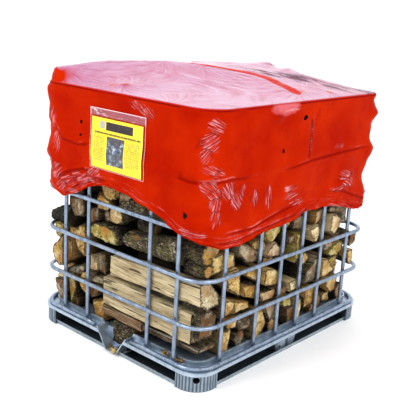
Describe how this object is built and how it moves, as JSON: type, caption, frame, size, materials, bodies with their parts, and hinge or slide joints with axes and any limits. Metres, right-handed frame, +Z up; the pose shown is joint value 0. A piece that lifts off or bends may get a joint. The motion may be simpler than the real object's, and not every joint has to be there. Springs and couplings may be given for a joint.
{
  "type": "crate of split firewood under a film hood",
  "caption": "Split firewood packed in a steel tube cage on a sheet-steel pallet, its upper half wrapped in a glossy red film hood with a document pouch",
  "frame": {"origin": "ground, at the middle of the pallet", "axes": "+Z up, -Y towards the short side with the document pouch and the valve recess, +X towards the right long side"},
  "size_m": [1.006, 1.2101, 1.1915],
  "materials": {
    "steel_tube": "galvanised, satin",
    "pressed_steel": "galvanised sheet, dull",
    "red_film": "stretched glossy film",
    "clear_pouch": "clear film",
    "yellow_card": "printed card",
    "split_wood": "split, dry",
    "bark": "rough bark"
  },
  "bodies": {
    "root": {"cage_ring_base": "steel_tube", "cage_ring_second": "steel_tube", "cage_ring_third": "steel_tube", "cage_ring_fourth": "steel_tube", "cage_ring_fifth": "steel_tube", "cage_ring_top": "steel_tube", "upright_front_1": "steel_tube", "upright_back_1": "steel_tube", "upright_front_2": "steel_tube", "upright_back_2": "steel_tube", "upright_front_3": "steel_tube", "upright_back_3": "steel_tube", "upright_front_4": "steel_tube", "upright_back_4": "steel_tube", "upright_left_1": "steel_tube", "upright_right_1": "steel_tube", "upright_left_2": "steel_tube", "upright_right_2": "steel_tube", "upright_left_3": "steel_tube", "upright_right_3": "steel_tube", "upright_left_4": "steel_tube", "upright_right_4": "steel_tube", "upright_left_5": "steel_tube", "upright_right_5": "steel_tube", "upright_left_6": "steel_tube", "upright_right_6": "steel_tube", "pallet_tray": "pressed_steel", "corner_foot_front_right": "pressed_steel", "corner_foot_front_left": "pressed_steel", "corner_foot_back_right": "pressed_steel", "corner_foot_back_left": "pressed_steel", "middle_foot_right": "pressed_steel", "middle_foot_left": "pressed_steel", "middle_foot_back": "pressed_steel", "centre_foot": "pressed_steel", "runner_right": "pressed_steel", "runner_left": "pressed_steel", "runner_back": "pressed_steel", "runner_front_left": "pressed_steel", "runner_front_right": "pressed_steel", "runner_centre": "pressed_steel", "film_hood": "red_film", "document_pouch": "clear_pouch", "label_card": "yellow_card", "long_billet_upper": "split_wood", "long_billet_lower": "split_wood", "black_bark_log": "bark", "wedge_log_left": "split_wood", "bark_log_front": "bark", "round_log_front": "split_wood", "half_round_log_front": "split_wood", "block_log_right": "split_wood", "pale_block_log_right": "split_wood", "tall_wedge_log_right": "split_wood", "slab_log_right": "split_wood", "low_wedge_log_right": "split_wood", "triangle_log_right": "split_wood", "firewood_stack_right": "bark", "firewood_stack_front_left": "bark", "firewood_stack_left": "bark"}
  },
  "joints": []
}
